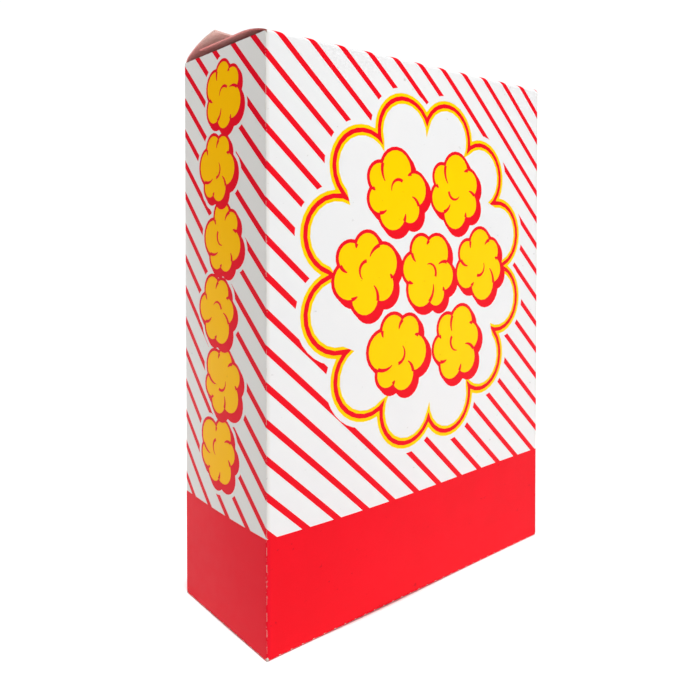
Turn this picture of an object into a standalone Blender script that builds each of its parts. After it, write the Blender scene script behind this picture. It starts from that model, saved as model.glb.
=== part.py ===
"""A shut popcorn carton, folded from one sheet of printed paperboard.

The four panels bow outwards a little. The two side panels end in a free cut edge, and the front
and back panels fold over the top: the front flap lies underneath and the back flap springs up
above it, so that a narrow lens-shaped gap shows at each end. The inside can't be seen into, so the
carton is solid up to a shallow recess under the flaps.

Metres, +Z up. The origin is at the middle of the base, and the front panel faces -Y.
"""

import math

import bmesh
import bpy

# The folded box
WIDTH = 0.1325
DEPTH = 0.0510
SIDE_HEIGHT = 0.1837
BOARD = 0.0005
RECESS = 0.006

# How far the panels bow: the front and back by the larger crown, the sides by the smaller
FRONT_CROWN = 0.0023
FRONT_CROWN_TOP = 0.1895
FRONT_SKEW = 0.4
SIDE_CROWN = 0.0009
CROWN_FULLNESS = 2.5

# Each flap leaves its panel upright and is a chain of arcs, given as (length, angle turned inwards).
# The front flap has a tight fold, then levels out and runs back under the other flap.
FRONT_LIFT = math.radians(18.8)
FRONT_CHAIN = ((0.0010, math.pi / 2.0 - FRONT_LIFT), (0.0150, FRONT_LIFT), (0.0265, 0.0))

# The back flap has a softer fold, and a short blade that stays raised and lifts at its corners.
BACK_LIFT = math.radians(25.0)
BACK_CHAIN = ((0.0034, math.pi / 2.0 - BACK_LIFT), (0.0187, math.radians(20.0)))
BACK_CURL = 0.0009
BACK_CURL_LENGTH = 0.005

# Mesh steps
WIDTH_STEPS = 14
DEPTH_STEPS = 6
HEIGHT_STEPS = 14
ARC_STEPS = 5
WELD = 1e-6

BOARD_WHITE = (0.86, 0.85, 0.82, 1.0)


def clear_scene():
    for obj in list(bpy.data.objects):
        bpy.data.objects.remove(obj)


def board_material():
    material = bpy.data.materials.new("coated_board")
    material.use_nodes = True
    shader = material.node_tree.nodes["Principled BSDF"]
    shader.inputs["Base Color"].default_value = BOARD_WHITE
    shader.inputs["Roughness"].default_value = 0.42
    shader.inputs["Metallic"].default_value = 0.0
    return material


def crown(height, top):
    """0 at the base and at the top, 1 halfway, and fuller than a sine in between."""
    share = min(height / top, 1.0)
    return 1.0 - abs(2.0 * share - 1.0) ** CROWN_FULLNESS


def front_bow(across, height):
    """How far the front panel stands out, at a fraction across it; it is fullest left of the middle."""
    wave = math.sin(math.pi * across) + FRONT_SKEW * math.sin(2.0 * math.pi * across)
    return FRONT_CROWN * crown(height, FRONT_CROWN_TOP) * wave


def side_bow(across, height):
    """How far a side panel stands out, at a fraction across it."""
    return SIDE_CROWN * crown(height, SIDE_HEIGHT) * math.sin(math.pi * across)


def bowed(x, y, z):
    """The place in the real carton of a point in a carton with flat panels."""
    across_width = x / WIDTH + 0.5
    across_depth = y / DEPTH + 0.5
    out_x = side_bow(across_depth, z) * 2.0 * x / WIDTH
    panel = across_width if y < 0.0 else 1.0 - across_width
    out_y = front_bow(panel, z) * 2.0 * y / DEPTH
    return x + out_x, y + out_y, z


def stations(length, steps):
    """Places across a panel: even steps, and one a board's thickness in from each edge."""
    half = length / 2.0
    inner = [length * i / steps - half for i in range(1, steps)]
    return [-half, BOARD - half, *inner, half - BOARD, half]


def follow(chain, distance):
    """The inset, rise and slope reached after a distance along a chain of arcs that starts upright."""
    inset = 0.0
    rise = 0.0
    slope = math.pi / 2.0
    for length, turn in chain:
        step = min(distance, length)
        bend = turn * step / length
        if bend:
            radius = step / bend
            inset += radius * (math.sin(slope) - math.sin(slope - bend))
            rise += radius * (math.cos(slope - bend) - math.cos(slope))
        else:
            inset += step * math.cos(slope)
            rise += step * math.sin(slope)
        slope -= bend
        distance -= step
    return inset, rise, slope


def flap_profile(chain):
    """The flap's outer and inner faces, each as (inset, height) from the panel's top edge to the flap's end."""
    distances = [0.0]
    for length, turn in chain:
        start = distances[-1]
        steps = ARC_STEPS if turn else 1
        distances += [start + length * i / steps for i in range(1, steps + 1)]
    outer = []
    inner = []
    for distance in distances:
        inset, rise, slope = follow(chain, distance)
        outer.append((inset, SIDE_HEIGHT + rise))
        under = SIDE_HEIGHT + rise - BOARD * math.cos(slope)
        inner.append((inset + BOARD * math.sin(slope), under))
    return outer, inner


def no_curl(x, inset):
    """The front flap is held down along its whole width."""
    return 0.0


def back_curl(x, inset):
    """How much lower the back flap lies away from its two raised corners."""
    from_left = math.exp(-(x + WIDTH / 2.0) / BACK_CURL_LENGTH)
    from_right = math.exp(-(WIDTH / 2.0 - x) / BACK_CURL_LENGTH)
    reach = follow(BACK_CHAIN, math.inf)[0]
    return -BACK_CURL * (1.0 - from_left - from_right) * (inset / reach) ** 2


class Shell:
    """Gathers grids of points, then welds them into one closed mesh."""

    def __init__(self):
        self.mesh = bmesh.new()

    def grid(self, rows):
        """Adds a patch of quads through rows of points, each given in the carton with flat panels."""
        made = [[self.mesh.verts.new(bowed(*point)) for point in row] for row in rows]
        for low, high in zip(made, made[1:]):
            for i in range(len(low) - 1):
                self.mesh.faces.new((low[i], low[i + 1], high[i + 1], high[i]))

    def finish(self, name):
        bmesh.ops.remove_doubles(self.mesh, verts=self.mesh.verts, dist=WELD)
        bmesh.ops.recalc_face_normals(self.mesh, faces=self.mesh.faces)
        mesh = bpy.data.meshes.new(name)
        self.mesh.to_mesh(mesh)
        self.mesh.free()
        return mesh


def add_box(shell, xs, ys):
    """The outside of the four panels, and the base."""
    zs = [SIDE_HEIGHT * i / HEIGHT_STEPS for i in range(HEIGHT_STEPS + 1)]
    for y in (ys[0], ys[-1]):
        shell.grid([[(x, y, z) for x in xs] for z in zs])
    for x in (xs[0], xs[-1]):
        shell.grid([[(x, y, z) for y in ys] for z in zs])
    shell.grid([[(x, y, 0.0) for x in xs] for y in ys])


def add_recess(shell, xs, ys):
    """The shallow hollow under the flaps, and the free cut edges of the side panels beside it."""
    inner_xs = xs[1:-1]
    inner_ys = ys[1:-1]
    floor = SIDE_HEIGHT - RECESS
    shell.grid([[(x, y, floor) for x in inner_xs] for y in inner_ys])
    for y in (inner_ys[0], inner_ys[-1]):
        shell.grid([[(x, y, z) for x in inner_xs] for z in (floor, SIDE_HEIGHT)])
    for x in (inner_xs[0], inner_xs[-1]):
        shell.grid([[(x, y, z) for y in inner_ys] for z in (floor, SIDE_HEIGHT)])
    for edge in (xs[:2], xs[-2:]):
        shell.grid([[(x, y, SIDE_HEIGHT) for x in edge] for y in inner_ys])


def add_flap(shell, xs, side, profile, curl):
    """One top flap. `side` is -1 for the front and 1 for the back."""
    outer, inner = profile

    def point(x, inset, height):
        return x, side * (DEPTH / 2.0 - inset), height + curl(x, inset)

    shell.grid([[point(x, *place) for x in xs] for place in outer])
    shell.grid([[point(x, *place) for x in xs] for place in inner])
    shell.grid([[point(x, *place) for x in xs] for place in (outer[-1], inner[-1])])
    for x in (xs[0], xs[-1]):
        shell.grid([[point(x, *over), point(x, *under)] for over, under in zip(outer, inner)])


def carton_mesh():
    xs = stations(WIDTH, WIDTH_STEPS)
    ys = stations(DEPTH, DEPTH_STEPS)
    shell = Shell()
    add_box(shell, xs, ys)
    add_recess(shell, xs, ys)
    add_flap(shell, xs, -1, flap_profile(FRONT_CHAIN), no_curl)
    add_flap(shell, xs, 1, flap_profile(BACK_CHAIN), back_curl)
    return shell.finish("carton")


clear_scene()
carton = bpy.data.objects.new("carton", carton_mesh())
carton.data.materials.append(board_material())
bpy.context.scene.collection.objects.link(carton)
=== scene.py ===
"""The looks of the popcorn carton: one sheet of printed paperboard, folded up from its flat blank.

The blank is drawn flat, in (u, t): u runs round the four panels and t runs up them. Its outline and
every printed shape are cut into one triangulation, which is then folded into the carton. The board
is one closed slab of it, and each ink is a thin closed film on the board's printed side.
"""

import math

import bpy
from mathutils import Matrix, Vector
from mathutils.geometry import delaunay_2d_cdt


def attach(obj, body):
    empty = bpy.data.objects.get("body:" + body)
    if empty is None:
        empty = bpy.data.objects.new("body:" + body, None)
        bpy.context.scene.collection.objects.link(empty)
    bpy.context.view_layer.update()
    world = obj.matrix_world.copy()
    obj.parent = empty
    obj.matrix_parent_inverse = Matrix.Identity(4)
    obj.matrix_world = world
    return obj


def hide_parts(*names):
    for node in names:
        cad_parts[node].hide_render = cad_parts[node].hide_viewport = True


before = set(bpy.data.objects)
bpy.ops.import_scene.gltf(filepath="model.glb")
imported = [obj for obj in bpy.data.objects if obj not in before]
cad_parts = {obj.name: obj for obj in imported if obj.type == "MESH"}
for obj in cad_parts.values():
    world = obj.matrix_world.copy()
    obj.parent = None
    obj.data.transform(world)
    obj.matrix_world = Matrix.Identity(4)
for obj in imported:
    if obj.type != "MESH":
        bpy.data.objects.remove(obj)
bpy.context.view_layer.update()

# The folded box, as in the part's source
WIDTH = 0.1325
DEPTH = 0.0510
SIDE_HEIGHT = 0.1837
BOARD = 0.00045
FRONT_CROWN = 0.0023
FRONT_CROWN_TOP = 0.1895
FRONT_SKEW = 0.4
SIDE_CROWN = 0.0009
CROWN_FULLNESS = 2.5
BACK_CURL = 0.0009
BACK_CURL_LENGTH = 0.005

# Each flap leaves its panel at a height, upright, and is a chain of (length, angle turned inwards).
RIGHT_ANGLE = math.pi / 2.0
FRONT_LIFT = math.radians(18.8)
BACK_LIFT = math.radians(25.0)
FRONT_TOP = (0.1830, ((0.00186, RIGHT_ANGLE - FRONT_LIFT), (0.0148, FRONT_LIFT), (0.0262, 0.0)))
BACK_TOP = (0.1837, ((0.0034, RIGHT_ANGLE - BACK_LIFT), (0.0187, math.radians(20.0))))
BASE_BEND = 0.0006
BASE_LIFT = math.radians(11.0)
FRONT_BASE = (BASE_BEND, ((BASE_BEND * RIGHT_ANGLE, RIGHT_ANGLE), (0.0485, 0.0)))
OTHER_BASE = (
    BASE_BEND,
    (
        (BASE_BEND * (RIGHT_ANGLE + BASE_LIFT), RIGHT_ANGLE + BASE_LIFT),
        (0.0022, 0.0),
        (0.0016, -BASE_LIFT),
        (0.0150, 0.0),
    ),
)

# The blank: where the panels meet, round the box from the back panel's glued edge
FOLD = 0.0005
TUCK = 0.0005
TAB = 0.0120
U_BACK = -DEPTH - WIDTH
U_LEFT = -DEPTH
U_FRONT = 0.0
U_RIGHT = WIDTH
U_TAB = WIDTH + DEPTH - TUCK
U_END = U_TAB + TAB

# Its cut edge: notches at the folds, top flaps cut narrower above a shoulder, and shaped base flaps
NOTCH = 0.00045
FLAP_GAP = 0.0004
FLAP_SHOULDER = 0.0030
MITRE = 0.0195
TAPER = 0.0015
BASE_GAP = 0.0042

# The widest spacing of the lines that the folds and bows need in the triangulation
GRID_STEP = 0.006

# The print
FOOT = 0.0360
STRIPE_ACROSS = 85.90
STRIPE_UP = 93.04
STRIPE_START = -0.516
STRIPE_SHARE = 0.25
FILM = 0.000012
MEDALLION_ACROSS = 0.0656
MEDALLION_UP = 0.1125
MEDALLION_HALF_WIDE = 0.0418
MEDALLION_HALF_HIGH = 0.0477
MEDALLION_LOBES = 12
MEDALLION_LOBE_RADIUS = 0.0140
MEDALLION_MARGIN = 0.0018
MEDALLION_LINES = (("yellow", 0.0), ("red", 0.0011), ("yellow", 0.0026), ("white", 0.0036))
CLUSTER_KERNEL = 0.0134
COLUMN_ACROSS = 0.0251
COLUMN_START = 0.0558
COLUMN_PITCH = 0.0226
COLUMN_KERNEL = 0.0110
COLUMN_SWAY = 0.0018
SCRAP_AREA = 3e-6

# The cuts of the creases: spaced slits up the folds, and ticks along the base
SLIT_PITCH = 0.0048
SLIT_START = 0.0024
SLIT_COUNT = 38
TICK_PITCH = 0.0042


def crown(height, top):
    """0 at the base and at the top, 1 halfway, and fuller than a sine in between."""
    share = min(max(height / top, 0.0), 1.0)
    return 1.0 - abs(2.0 * share - 1.0) ** CROWN_FULLNESS


def front_bow(across, height):
    """How far the front panel stands out, at a fraction across it; it is fullest left of the middle."""
    wave = math.sin(math.pi * across) + FRONT_SKEW * math.sin(2.0 * math.pi * across)
    return FRONT_CROWN * crown(height, FRONT_CROWN_TOP) * wave


def side_bow(across, height):
    """How far a side panel stands out, at a fraction across it."""
    return SIDE_CROWN * crown(height, SIDE_HEIGHT) * math.sin(math.pi * across)


def bowed(x, y, z):
    """The place in the real carton of a point in a carton with flat panels."""
    across_width = x / WIDTH + 0.5
    across_depth = y / DEPTH + 0.5
    out_x = side_bow(across_depth, z) * 2.0 * x / WIDTH
    panel = across_width if y < 0.0 else 1.0 - across_width
    out_y = front_bow(panel, z) * 2.0 * y / DEPTH
    return Vector((x + out_x, y + out_y, z))


def follow(chain, distance):
    """The inset and rise reached after a distance along a chain of arcs that starts upright."""
    inset = 0.0
    rise = 0.0
    slope = RIGHT_ANGLE
    for length, turn in chain:
        step = min(distance, length)
        bend = turn * step / length
        if bend:
            radius = step / bend
            inset += radius * (math.sin(slope) - math.sin(slope - bend))
            rise += radius * (math.cos(slope - bend) - math.cos(slope))
        else:
            inset += step * math.cos(slope)
            rise += step * math.sin(slope)
        slope -= bend
        distance -= step
    return inset, rise


def reach(flap):
    """How far a flap's chain runs."""
    return sum(length for length, turn in flap[1])


# The corners of the sheet's path round the box, as (u, x, y)
CORNERS = (
    (U_BACK, WIDTH / 2, DEPTH / 2),
    (U_LEFT, -WIDTH / 2, DEPTH / 2),
    (U_FRONT, -WIDTH / 2, -DEPTH / 2),
    (U_RIGHT, WIDTH / 2, -DEPTH / 2),
    (U_TAB, WIDTH / 2, DEPTH / 2 - TUCK),
    (U_END, WIDTH / 2 - TAB, DEPTH / 2 - TUCK),
)
HALF_ARC = FOLD * math.pi / 4.0
PANELS = (
    (BACK_TOP, OTHER_BASE),
    (None, OTHER_BASE),
    (FRONT_TOP, FRONT_BASE),
    (None, OTHER_BASE),
    (None, None),
)


def heading(i):
    """The direction in which the sheet runs along panel i."""
    start = Vector(CORNERS[i][1:])
    return (Vector(CORNERS[i + 1][1:]) - start).normalized()


HEADINGS = [heading(i) for i in range(len(CORNERS) - 1)]


def on_fold(i, u):
    """A point on the rounded fold at corner i."""
    before = HEADINGS[i - 1]
    after = HEADINGS[i]
    centre = Vector(CORNERS[i][1:]) + (after - before) * FOLD
    angle = math.pi / 4.0 + (u - CORNERS[i][0]) / FOLD
    outward = Vector((before.y, -before.x)) * math.cos(angle) + before * math.sin(angle)
    return centre + outward * FOLD


def on_panel(i, u):
    """A point on the flat of panel i."""
    start_u = CORNERS[i][0]
    end_u = CORNERS[i + 1][0]
    start = Vector(CORNERS[i][1:])
    end = Vector(CORNERS[i + 1][1:])
    if i > 0:
        start_u += HALF_ARC
        start += HEADINGS[i] * FOLD
    if i < len(HEADINGS) - 1:
        end_u -= HALF_ARC
        end -= HEADINGS[i] * FOLD
    return start.lerp(end, (u - start_u) / (end_u - start_u))


def back_curl(x, inset):
    """How much lower the back flap lies away from its two raised corners."""
    from_left = math.exp(-(x + WIDTH / 2.0) / BACK_CURL_LENGTH)
    from_right = math.exp(-(WIDTH / 2.0 - x) / BACK_CURL_LENGTH)
    span = follow(BACK_TOP[1], math.inf)[0]
    return -BACK_CURL * (1.0 - from_left - from_right) * (inset / span) ** 2


def folded(u, t):
    """The place in the folded carton of a point of the blank's printed face."""
    for i in range(1, len(CORNERS) - 1):
        if abs(u - CORNERS[i][0]) < HALF_ARC:
            place = on_fold(i, u)
            return bowed(place.x, place.y, t)
    i = 0
    while i < len(PANELS) - 1 and u > CORNERS[i + 1][0]:
        i += 1
    place = on_panel(i, u)
    inward = Vector((-HEADINGS[i].y, HEADINGS[i].x))
    top, base = PANELS[i]
    if top and t > top[0]:
        inset, rise = follow(top[1], t - top[0])
        height = top[0] + rise
        if i == 0:
            height += back_curl(place.x, inset)
    elif base and t < base[0]:
        inset, rise = follow(base[1], base[0] - t)
        height = base[0] - rise
    else:
        inset, height = 0.0, t
    place += inward * inset
    return bowed(place.x, place.y, height)


def facing(u, t):
    """The direction in which the printed face looks."""
    step = 2e-6
    along = folded(u + step, t) - folded(u - step, t)
    up = folded(u, t + step) - folded(u, t - step)
    return along.cross(up).normalized()


def oriented(points):
    """The same polygon, turned so that it runs anticlockwise."""
    area = sum(a[0] * b[1] - b[0] * a[1] for a, b in zip(points, points[1:] + points[:1]))
    return points if area > 0.0 else points[::-1]


def rectangle(u0, t0, u1, t1):
    return [(u0, t0), (u1, t0), (u1, t1), (u0, t1)]


def crossing(a, b):
    """Where circle a meets the next circle b, on the outer side of a ring that runs anticlockwise."""
    span = Vector((b[0] - a[0], b[1] - a[1]))
    distance = span.length
    along = (distance * distance + a[2] * a[2] - b[2] * b[2]) / (2.0 * distance)
    aside = math.sqrt(max(a[2] * a[2] - along * along, 0.0))
    ahead = span / distance
    return (
        a[0] + ahead.x * along + ahead.y * aside,
        a[1] + ahead.y * along - ahead.x * aside,
    )


def scallops(circles, grow, steps):
    """The outline of a closed ring of circles (x, y, radius), each grown by the same amount."""
    ring = [(x, y, radius + grow) for x, y, radius in circles]
    meets = [crossing(a, b) for a, b in zip(ring, ring[1:] + ring[:1])]
    points = []
    for (x, y, radius), start, end in zip(ring, meets[-1:] + meets[:-1], meets):
        first = math.atan2(start[1] - y, start[0] - x)
        sweep = (math.atan2(end[1] - y, end[0] - x) - first) % (2.0 * math.pi)
        for k in range(steps):
            angle = first + sweep * k / steps
            points.append((x + radius * math.cos(angle), y + radius * math.sin(angle)))
    return points


def curl(circle, start, sweep, thick, steps):
    """A drawn line along part of a circle, tapered towards its end."""
    x, y, radius = circle
    outer = []
    inner = []
    for k in range(steps + 1):
        angle = start + sweep * k / steps
        half = thick / 2.0 * (1.0 - 0.75 * (k / steps) ** 2)
        outer.append((x + (radius + half) * math.cos(angle), y + (radius + half) * math.sin(angle)))
        inner.append((x + (radius - half) * math.cos(angle), y + (radius - half) * math.sin(angle)))
    return outer + inner[::-1]


# A popped kernel, as rings of lobes (x, y, radius) for a kernel about two units across
KERNELS = (
    (
        (0.10, 0.48, 0.50), (-0.48, 0.38, 0.36), (-0.62, -0.12, 0.34),
        (-0.26, -0.52, 0.44), (0.34, -0.56, 0.34), (0.62, -0.10, 0.42),
    ),
    (
        (-0.30, 0.46, 0.46), (-0.62, -0.06, 0.36), (-0.30, -0.50, 0.38),
        (0.28, -0.44, 0.48), (0.66, 0.04, 0.32), (0.36, 0.50, 0.38),
    ),
    (
        (0.00, 0.60, 0.36), (-0.46, 0.30, 0.44), (-0.50, -0.34, 0.40),
        (0.06, -0.58, 0.38), (0.50, -0.28, 0.46), (0.50, 0.34, 0.36),
    ),
)
CURLS = (0.95, 0.30, 0.75, 0.45, 1.05, 0.35)


def kernel_ring(kind, u, t, size, turn):
    """The lobes of one popped kernel, placed and turned on the blank."""
    cos, sin = math.cos(turn), math.sin(turn)
    ring = []
    for x, y, radius in KERNELS[kind]:
        ring.append((u + size * (x * cos - y * sin), t + size * (x * sin + y * cos), size * radius))
    return ring


def shifted(ring, shade):
    """The lobes moved down and to the right, for the shade."""
    return [(x + shade, y - shade, radius) for x, y, radius in ring]


def kernels(paint, placed, margin, line, shade):
    """Paints popped kernels: all the white margins, then each one's red shade, yellow body and curls."""
    rings = [kernel_ring(*place) for place in placed]
    for ring in rings:
        for moved in (ring, shifted(ring, shade)):
            paint("white", scallops(moved, margin + line, 7))
    for (kind, u, t, size, turn), ring in zip(placed, rings):
        for share in (1.0, 0.5, 0.0):
            paint("red", scallops(shifted(ring, shade * share), line, 9))
        paint("yellow", scallops(ring, 0.0, 9))
        for i, lobe in enumerate(ring):
            meet = crossing(lobe, ring[(i + 1) % len(ring)])
            start = math.atan2(meet[1] - lobe[1], meet[0] - lobe[0])
            paint("red", curl(lobe, start - 0.05, CURLS[(i + kind) % 6], line * 1.1, 8))
        heart = (u + 0.06 * size * math.cos(turn), t + 0.06 * size * math.sin(turn), 0.25 * size)
        paint("red", curl(heart, turn + 0.8, 2.3, line * 0.95, 12))


def medallion(paint, u, t):
    """Paints the round scalloped field with its three-line border."""
    ring = []
    for k in range(MEDALLION_LOBES):
        angle = 2.0 * math.pi * (k + 0.5) / MEDALLION_LOBES
        across = u + MEDALLION_HALF_WIDE * math.cos(angle)
        up = t + MEDALLION_HALF_HIGH * math.sin(angle)
        ring.append((across, up, MEDALLION_LOBE_RADIUS))
    paint("white", scallops(ring, MEDALLION_MARGIN, 12))
    for colour, inset in MEDALLION_LINES:
        paint(colour, scallops(ring, -inset, 12))


def paint_stripes(paint):
    """Slanting red stripes over the whole blank above the red foot."""
    bottom = FOOT - 0.001
    top = FRONT_TOP[0] + reach(FRONT_TOP) + 0.001
    first = math.floor(STRIPE_ACROSS * U_BACK + STRIPE_UP * bottom + STRIPE_START)
    last = math.ceil(STRIPE_ACROSS * U_END + STRIPE_UP * top + STRIPE_START)
    half = STRIPE_SHARE / 2.0 / STRIPE_ACROSS
    for n in range(first, last + 1):
        low = (n - STRIPE_START - STRIPE_UP * bottom) / STRIPE_ACROSS
        high = (n - STRIPE_START - STRIPE_UP * top) / STRIPE_ACROSS
        if low > U_BACK and high < U_END:
            corners = [(low - half, bottom), (low + half, bottom), (high + half, top), (high - half, top)]
            paint("red", corners)


def paint_cluster(paint, u):
    """The front and back panels: a medallion with seven popped kernels."""
    medallion(paint, u, MEDALLION_UP)
    places = (
        (0, -0.0154, 0.0272, 0.2), (1, 0.0150, 0.0278, 2.5),
        (2, -0.0292, 0.0000, 0.9), (1, 0.0000, -0.0004, 5.1), (0, 0.0292, 0.0006, 3.6),
        (1, -0.0150, -0.0268, 4.0), (2, 0.0154, -0.0272, 1.7),
    )
    placed = []
    for kind, du, dt, turn in places:
        placed.append((kind, u + du, MEDALLION_UP + dt, CLUSTER_KERNEL, turn))
    kernels(paint, placed, margin=0.0, line=0.0012, shade=0.0018)


def paint_column(paint, u):
    """The side panels: a column of six popped kernels."""
    placed = []
    for k in range(6):
        aside = COLUMN_SWAY if k % 2 else -COLUMN_SWAY
        up = COLUMN_START + COLUMN_PITCH * k
        placed.append((k % 3, u + aside, up, COLUMN_KERNEL, 1.1 + 2.3 * k))
    kernels(paint, placed, margin=0.0013, line=0.0010, shade=0.0017)


def paint_cuts(paint):
    """The spaced cuts of the creases, which show the bare board, and the chipped lower corners."""
    for corner in CORNERS[1:-1]:
        u = corner[0]
        for k in range(SLIT_COUNT):
            t = SLIT_START + SLIT_PITCH * k
            half = 0.000025 + 0.000008 * (k * 3 % 4)
            length = 0.0019 + 0.0003 * (k * 5 % 4)
            paint("bare", rectangle(u - half, t, u + half, t + length))
        chip = [(u - 0.0007, 0.0006), (u, -0.0004), (u + 0.0008, 0.0004), (u + 0.0002, 0.0013)]
        paint("bare", chip)
    for i in range(4):
        start, end = CORNERS[i][0], CORNERS[i + 1][0]
        for k in range(1, int((end - start) / TICK_PITCH)):
            u = start + TICK_PITCH * k
            paint("bare", rectangle(u, 0.00022, u + 0.0006, 0.00058))
            paint("cut", rectangle(u + 0.0011, 0.00012, u + 0.0024, 0.00028))


def blank_outline():
    """The cut edge of the flat blank."""
    low = 0.0004
    front_end = FRONT_TOP[0] + reach(FRONT_TOP)
    back_end = BACK_TOP[0] + reach(BACK_TOP)
    front_low = FRONT_BASE[0] - reach(FRONT_BASE)
    other_low = OTHER_BASE[0] - reach(OTHER_BASE)
    return [
        (U_BACK, low),
        (U_BACK + NOTCH, low),
        (U_BACK + NOTCH + MITRE, other_low),
        (U_LEFT - NOTCH - MITRE, other_low),
        (U_LEFT - NOTCH, low),
        (U_LEFT + NOTCH, low),
        (U_LEFT + NOTCH + MITRE, other_low),
        (U_FRONT - NOTCH - TAPER, other_low),
        (U_FRONT - NOTCH, low),
        (U_FRONT + NOTCH, low),
        (U_FRONT + NOTCH, -0.0008),
        (U_FRONT + BASE_GAP, -0.0012),
        (U_FRONT + BASE_GAP, front_low),
        (U_RIGHT - BASE_GAP, front_low),
        (U_RIGHT - BASE_GAP, -0.0012),
        (U_RIGHT - NOTCH, -0.0008),
        (U_RIGHT - NOTCH, low),
        (U_RIGHT + NOTCH, low),
        (U_RIGHT + NOTCH + TAPER, other_low),
        (U_TAB - NOTCH - MITRE, other_low),
        (U_TAB - NOTCH, low),
        (U_TAB + NOTCH, low),
        (U_TAB + NOTCH, 0.0030),
        (U_END, 0.0080),
        (U_END, 0.1740),
        (U_TAB + NOTCH, 0.1800),
        (U_TAB + NOTCH, SIDE_HEIGHT),
        (U_RIGHT + NOTCH, SIDE_HEIGHT),
        (U_RIGHT - NOTCH, FRONT_TOP[0]),
        (U_RIGHT - NOTCH - FLAP_GAP, FRONT_TOP[0] + FLAP_SHOULDER),
        (U_RIGHT - NOTCH - FLAP_GAP, front_end),
        (U_FRONT + NOTCH + FLAP_GAP, front_end),
        (U_FRONT + NOTCH + FLAP_GAP, FRONT_TOP[0] + FLAP_SHOULDER),
        (U_FRONT + NOTCH, FRONT_TOP[0]),
        (U_FRONT - NOTCH, SIDE_HEIGHT),
        (U_LEFT + NOTCH, SIDE_HEIGHT),
        (U_LEFT - NOTCH, BACK_TOP[0]),
        (U_LEFT - NOTCH - FLAP_GAP, BACK_TOP[0] + FLAP_SHOULDER),
        (U_LEFT - NOTCH - FLAP_GAP, back_end),
        (U_BACK + FLAP_GAP, back_end),
        (U_BACK + FLAP_GAP, BACK_TOP[0] + FLAP_SHOULDER),
        (U_BACK, BACK_TOP[0]),
    ]


def filled(stops, spacing):
    """Sorted grid positions: the given stops, with even steps between any two that lie far apart."""
    stops = sorted(set(round(stop, 7) for stop in stops))
    made = [stops[0]]
    for stop in stops[1:]:
        count = max(1, math.ceil((stop - made[-1]) / spacing))
        start = made[-1]
        made += [start + (stop - start) * k / count for k in range(1, count + 1)]
    return made


def grid_lines():
    """Where the triangulation gets lines up and across, close together at the folds."""
    us = [U_BACK, U_END]
    for corner in CORNERS[1:-1]:
        for offset in (0.0, 0.00006, 0.00023, HALF_ARC, 0.0012):
            us += [corner[0] - offset, corner[0] + offset]
    ts = [FRONT_BASE[0] - reach(FRONT_BASE), FRONT_TOP[0] + reach(FRONT_TOP)]
    for start, chain in (FRONT_TOP, BACK_TOP):
        ts += [start + chain[0][0] * k / 6.0 for k in range(7)]
        ts += [start + chain[0][0] + chain[1][0] * k / 6.0 for k in range(7)]
    for start, chain in (FRONT_BASE, OTHER_BASE):
        ts += [start - chain[0][0] * k / 5.0 for k in range(6)]
    fold, level, lift = (length for length, turn in OTHER_BASE[1][:3])
    ts += [OTHER_BASE[0] - fold - level - lift * k / 4.0 for k in range(5)]
    return filled(us, GRID_STEP), filled(ts, GRID_STEP)


def triangulated(shapes):
    """Cuts the painted shapes into the blank. Gives points, and (triangle, ink) pairs."""
    points = []
    edges = []
    faces = []
    for colour, shape in shapes:
        faces.append(range(len(points), len(points) + len(shape)))
        points += [Vector(point) for point in oriented(shape)]
    us, ts = grid_lines()
    for u in us:
        edges.append((len(points), len(points) + 1))
        points += [Vector((u, ts[0] - 0.001)), Vector((u, ts[-1] + 0.001))]
    for t in ts:
        edges.append((len(points), len(points) + 1))
        points += [Vector((us[0] - 0.001, t)), Vector((us[-1] + 0.001, t))]
    made = delaunay_2d_cdt(points, edges, faces, 1, 1e-7)
    triangles = []
    for triangle, owners in zip(made[2], made[5]):
        if 0 in owners:
            triangles.append((tuple(triangle), shapes[max(owners)][0]))
    return [(point.x, point.y) for point in made[0]], triangles


def without_scraps(points, triangles):
    """Turns white the small scraps of red that the margins leave of a stripe."""
    group = list(range(len(points)))

    def root(i):
        while group[i] != i:
            group[i] = group[group[i]]
            i = group[i]
        return i

    for (a, b, c), ink in triangles:
        if ink == "red":
            group[root(a)] = root(b)
            group[root(b)] = root(c)
    size = {}
    for (a, b, c), ink in triangles:
        if ink == "red":
            (au, at), (bu, bt), (cu, ct) = points[a], points[b], points[c]
            area = abs((bu - au) * (ct - at) - (cu - au) * (bt - at)) / 2.0
            size[root(a)] = size.get(root(a), 0.0) + area
    cleaned = []
    for triangle, ink in triangles:
        scrap = ink == "red" and size[root(triangle[0])] < SCRAP_AREA
        cleaned.append((triangle, "white" if scrap else ink))
    return cleaned


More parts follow.
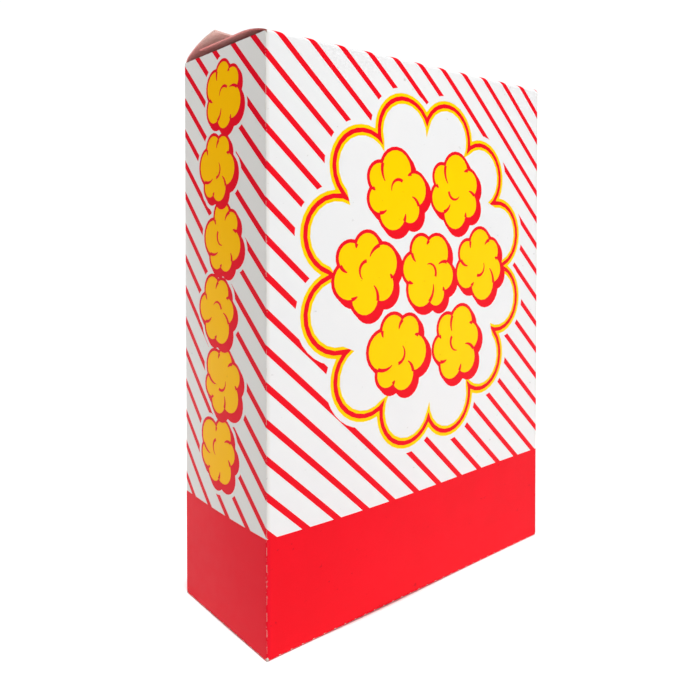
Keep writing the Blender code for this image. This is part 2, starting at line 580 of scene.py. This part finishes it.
class Sheet:
    """The folded sheet: each point of the blank with its place and the way it faces."""

    def __init__(self, points):
        self.places = [folded(u, t) for u, t in points]
        self.normals = [facing(u, t) for u, t in points]

    def slab(self, name, triangles, top, bottom):
        """A closed piece of the sheet between two heights over its printed face."""
        used = sorted({i for triangle in triangles for i in triangle})
        index = {old: new for new, old in enumerate(used)}
        count = len(used)
        normals = [self.normals[i] for i in used]
        verts = [self.places[i] + self.normals[i] * top for i in used]
        verts += [self.places[i] + self.normals[i] * bottom for i in used]
        faces = [tuple(index[i] for i in triangle) for triangle in triangles]
        sides = {(a, b) for face in faces for a, b in zip(face, face[1:] + face[:1])}
        walls = [(b, a, a + count, b + count) for a, b in sides if (b, a) not in sides]
        under = [(c + count, b + count, a + count) for a, b, c in faces]
        mesh = bpy.data.meshes.new(name)
        mesh.from_pydata(verts, [], faces + under + sorted(walls))
        mesh.polygons.foreach_set("use_smooth", [True] * len(mesh.polygons))
        loops = [normals[i] for face in faces for i in face]
        loops += [-normals[i - count] for face in under for i in face]
        for polygon in list(mesh.polygons)[len(faces) + len(under):]:
            loops += [polygon.normal.copy()] * 4
        mesh.normals_split_custom_set(loops)
        piece = bpy.data.objects.new(name, mesh)
        bpy.context.scene.collection.objects.link(piece)
        return piece


class Nodes:
    """A short way to wire a material's nodes."""

    def __init__(self, name):
        self.material = bpy.data.materials.new(name)
        self.material.use_nodes = True
        self.tree = self.material.node_tree
        self.shader = self.tree.nodes["Principled BSDF"]
        coords = self.tree.nodes.new("ShaderNodeTexCoord")
        self.place = coords.outputs["Object"]

    def link(self, value, socket):
        if isinstance(value, bpy.types.NodeSocket):
            self.tree.links.new(value, socket)
        else:
            socket.default_value = value

    def noise(self, scale, detail, roughness=0.55, stretch=None):
        node = self.tree.nodes.new("ShaderNodeTexNoise")
        node.inputs["Scale"].default_value = scale
        node.inputs["Detail"].default_value = detail
        node.inputs["Roughness"].default_value = roughness
        place = self.place
        if stretch:
            mapping = self.tree.nodes.new("ShaderNodeMapping")
            mapping.inputs["Scale"].default_value = stretch
            self.tree.links.new(place, mapping.inputs["Vector"])
            place = mapping.outputs["Vector"]
        self.tree.links.new(place, node.inputs["Vector"])
        return node.outputs["Fac"]

    def math(self, operation, a, b=0.0, clamp=False):
        node = self.tree.nodes.new("ShaderNodeMath")
        node.operation = operation
        node.use_clamp = clamp
        self.link(a, node.inputs[0])
        self.link(b, node.inputs[1])
        return node.outputs[0]

    def span(self, value, low, high, to_low=0.0, to_high=1.0):
        node = self.tree.nodes.new("ShaderNodeMapRange")
        node.interpolation_type = "SMOOTHSTEP"
        self.link(value, node.inputs["Value"])
        node.inputs["From Min"].default_value = low
        node.inputs["From Max"].default_value = high
        node.inputs["To Min"].default_value = to_low
        node.inputs["To Max"].default_value = to_high
        return node.outputs["Result"]

    def axis(self, name):
        node = self.tree.nodes.new("ShaderNodeSeparateXYZ")
        self.tree.links.new(self.place, node.inputs[0])
        return node.outputs[name]

    def mix(self, factor, a, b):
        node = self.tree.nodes.new("ShaderNodeMix")
        node.data_type = "RGBA"
        self.link(factor, node.inputs["Factor"])
        self.link(a, node.inputs["A"])
        self.link(b, node.inputs["B"])
        return node.outputs["Result"]

    def bump(self, height, strength, distance, over=None):
        node = self.tree.nodes.new("ShaderNodeBump")
        node.inputs["Strength"].default_value = strength
        node.inputs["Distance"].default_value = distance
        self.tree.links.new(height, node.inputs["Height"])
        if over:
            self.tree.links.new(over, node.inputs["Normal"])
        return node.outputs["Normal"]

    def finish(self, colour, roughness, normal, specular=0.05):
        self.shader.inputs["Specular IOR Level"].default_value = specular
        self.link(colour, self.shader.inputs["Base Color"])
        self.link(roughness, self.shader.inputs["Roughness"])
        self.link(normal, self.shader.inputs["Normal"])
        return self.material


# Each ink: its slot, its colour, a deeper tone in the mottling, and a darker copy of its colour painted
# on the side panels as shade
WHITE = ("white_print", (0.85, 0.85, 0.85, 1.0), (0.835, 0.84, 0.845, 1.0), (0.785, 0.770, 0.747, 1.0))
RED = ("red_print", (0.90, 0.006, 0.018, 1.0), (0.86, 0.006, 0.016, 1.0), (0.815, 0.004, 0.020, 1.0))
YELLOW = ("yellow_print", (1.0, 0.66, 0.0, 1.0), (0.97, 0.63, 0.0, 1.0), (1.0, 0.525, 0.0, 1.0))


def near_folds(nodes, width):
    """1 on the vertical folds and 0 further from them than the width."""
    from_side = nodes.math("SUBTRACT", WIDTH / 2, nodes.math("ABSOLUTE", nodes.axis("X")))
    from_front = nodes.math("SUBTRACT", DEPTH / 2, nodes.math("ABSOLUTE", nodes.axis("Y")))
    return nodes.span(nodes.math("MAXIMUM", from_side, from_front), 0.0, width, 1.0, 0.0)


def side_shade_mask(nodes):
    """1 on the two side panels, where the inks get their painted shade, and 0 on the front and back
    panels.
    """
    return nodes.span(nodes.math("ABSOLUTE", nodes.axis("X")), WIDTH / 2 - 0.0016, WIDTH / 2 - 0.0006)


def ink_material(name, colour, deep, side, gloss):
    """Ink on coated board: mottled, darker on the side panels as painted shade, scuffed, and rubbed at
    the folds.
    """
    nodes = Nodes(name)
    cloud = nodes.noise(55.0, 4.0)
    speckle = nodes.noise(2600.0, 2.0)
    mottle = nodes.math("ADD", nodes.math("MULTIPLY", cloud, 0.6), nodes.math("MULTIPLY", speckle, 0.4))
    tint = nodes.mix(nodes.span(mottle, 0.35, 0.65), deep, colour)
    # Painted shade: the side panels take a darker copy of the ink's colour, for the weaker light that
    # falls on them.
    tint = nodes.mix(side_shade_mask(nodes), tint, side)
    worn = tuple(0.70 * part for part in side[:3]) + (1.0,)
    scuff = nodes.span(nodes.noise(330.0, 3.0, stretch=(1.0, 1.0, 1.6)), 0.70, 0.76)
    tint = nodes.mix(nodes.math("MULTIPLY", scuff, 0.6), tint, worn)
    fine = nodes.span(nodes.noise(1500.0, 3.0), 0.56, 0.68)
    rub = nodes.math("MULTIPLY", near_folds(nodes, 0.0006), fine)
    tint = nodes.mix(nodes.math("MULTIPLY", rub, 0.45), tint, (0.80, 0.76, 0.70, 1.0))
    roughness = nodes.span(nodes.noise(240.0, 3.0), 0.3, 0.7, gloss - 0.04, gloss + 0.05)
    fibre = nodes.noise(900.0, 4.0, stretch=(1.0, 1.0, 0.35))
    wave = nodes.noise(40.0, 2.0)
    normal = nodes.bump(wave, 0.20, 0.0006)
    normal = nodes.bump(fibre, 0.06, 0.00005, over=normal)
    return nodes.finish(tint, roughness, normal)


def board_material():
    """Uncoated board: cream fibres, with a painted red glow under the flaps and painted shade deepest in
    the front fold.
    """
    nodes = Nodes("plain_board")
    fibre = nodes.noise(1400.0, 4.0, stretch=(1.0, 1.0, 0.3))
    cream = nodes.mix(nodes.span(fibre, 0.3, 0.7), (0.66, 0.60, 0.51, 1.0), (0.82, 0.77, 0.69, 1.0))
    height = nodes.axis("Z")
    under = nodes.span(height, 0.1835, 0.1845)
    # Painted light: under the flaps the board gets a red glow, standing for light shining through the
    # red-printed board; it is strongest low down.
    glow_share = nodes.math("MULTIPLY", under, nodes.span(height, 0.1866, 0.1903, 1.0, 0.40))
    painted_red_glow = nodes.mix(nodes.noise(130.0, 3.0), (0.95, 0.20, 0.195, 1.0), (1.0, 0.42, 0.41, 1.0))
    tint = nodes.mix(nodes.math("MULTIPLY", glow_share, 0.85), cream, painted_red_glow)
    # Painted shade: a dark red-brown in the front fold under the front flap, fading out towards the back.
    painted_fold_shade = nodes.math("MULTIPLY", under, nodes.span(nodes.axis("Y"), -DEPTH / 2, -0.008, 0.95, 0.0))
    tint = nodes.mix(painted_fold_shade, tint, (0.42, 0.085, 0.08, 1.0))
    normal = nodes.bump(fibre, 0.35, 0.0001)
    return nodes.finish(tint, 0.86, normal)


def floor_material():
    nodes = Nodes("studio_floor")
    shade = nodes.span(nodes.noise(3.0, 2.0), 0.3, 0.7)
    tint = nodes.mix(shade, (0.95, 0.95, 0.95, 1.0), (0.97, 0.97, 0.97, 1.0))
    return nodes.finish(tint, 0.9, nodes.bump(nodes.noise(400.0, 2.0), 0.05, 0.0002), specular=0.0)


def build_carton():
    shapes = [("white", blank_outline())]

    def paint(colour, shape):
        shapes.append((colour, shape))

    paint_stripes(paint)
    paint("red", rectangle(U_BACK - 0.001, -0.060, U_END + 0.001, FOOT))
    paint_cluster(paint, U_FRONT + MEDALLION_ACROSS)
    paint_cluster(paint, U_BACK + MEDALLION_ACROSS)
    paint_column(paint, U_LEFT + COLUMN_ACROSS)
    paint_column(paint, U_RIGHT + COLUMN_ACROSS)
    paint_cuts(paint)
    points, triangles = triangulated(shapes)
    triangles = without_scraps(points, triangles)
    sheet = Sheet(points)
    triangles = [pair for pair in triangles if pair[1] != "cut"]
    inked = [pair for pair in triangles if pair[1] != "bare"]
    layers = (
        ("carton_board", "plain_board", [tri for tri, ink in triangles], 0.0, -BOARD),
        ("print_white", "white_print", [tri for tri, ink in inked], FILM, -FILM),
        ("print_red", "red_print", [tri for tri, ink in inked if ink == "red"], 2 * FILM, 0.0),
        ("print_yellow", "yellow_print", [tri for tri, ink in inked if ink == "yellow"], 2 * FILM, 0.0),
    )
    materials = {
        "plain_board": board_material(),
        "white_print": ink_material(*WHITE, gloss=0.40),
        "red_print": ink_material(*RED, gloss=0.34),
        "yellow_print": ink_material(*YELLOW, gloss=0.34),
    }
    for name, slot, chosen, top, bottom in layers:
        piece = sheet.slab(name, chosen, top, bottom)
        piece.data.materials.append(materials[slot])
        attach(piece, "root")
        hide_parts("carton")


def build_stage():
    mesh = bpy.data.meshes.new("floor")
    half = 12.0
    corners = [(-half, -half, 0), (half, -half, 0), (half, half, 0), (-half, half, 0)]
    mesh.from_pydata(corners, [], [(0, 1, 2, 3)])
    mesh.materials.append(floor_material())
    floor = bpy.data.objects.new("floor", mesh)
    bpy.context.scene.collection.objects.link(floor)


def area_light(name, place, target, size, power):
    light = bpy.data.lights.new(name, "AREA")
    light.shape = "RECTANGLE"
    light.size, light.size_y = size
    light.energy = power
    lamp = bpy.data.objects.new(name, light)
    lamp.location = place
    lamp.rotation_euler = (Vector(target) - Vector(place)).to_track_quat("-Z", "Y").to_euler()
    lamp.visible_glossy = False
    bpy.context.scene.collection.objects.link(lamp)


def build_light():
    """A steep sun whitens the floor, which lights the panels. A key and a rim light add to it."""
    world = bpy.data.worlds.new("studio")
    world.use_nodes = True
    tree = world.node_tree
    background = tree.nodes["Background"]
    background.inputs["Color"].default_value = (1.0, 1.0, 1.0, 1.0)
    seen = tree.nodes.new("ShaderNodeLightPath").outputs["Is Camera Ray"]
    strength = tree.nodes.new("ShaderNodeMapRange")
    strength.inputs["To Min"].default_value = 0.10
    strength.inputs["To Max"].default_value = 1.05
    tree.links.new(seen, strength.inputs["Value"])
    tree.links.new(strength.outputs["Result"], background.inputs["Strength"])
    bpy.context.scene.world = world
    light = bpy.data.lights.new("overhead", "SUN")
    light.energy = 3.05
    light.angle = math.radians(3.0)
    lamp = bpy.data.objects.new("overhead", light)
    lamp.rotation_euler = (math.radians(2.2), math.radians(-1.2), 0.0)
    bpy.context.scene.collection.objects.link(lamp)
    area_light("key", (0.55, -1.5, 0.34), (0.0, 0.0, 0.09), (0.8, 0.8), 11.4)
    area_light("rim", (-0.19, 0.45, 0.22), (-0.06, 0.0, 0.10), (0.15, 0.25), 1.0)


def build_camera():
    camera = bpy.data.cameras.new("camera")
    camera.lens = 35.22
    camera.sensor_width = 36.0
    camera.shift_y = -0.1506
    camera.clip_start = 0.01
    eye = bpy.data.objects.new("camera", camera)
    eye.location = (-WIDTH / 2 - 0.1084, -DEPTH / 2 - 0.1673, 0.1255)
    eye.rotation_euler = (math.radians(89.0), 0.0, math.radians(-39.94))
    bpy.context.scene.collection.objects.link(eye)
    bpy.context.scene.camera = eye
    bpy.context.scene.view_settings.view_transform = "Standard"


build_camera()
build_carton()
build_stage()
build_light()
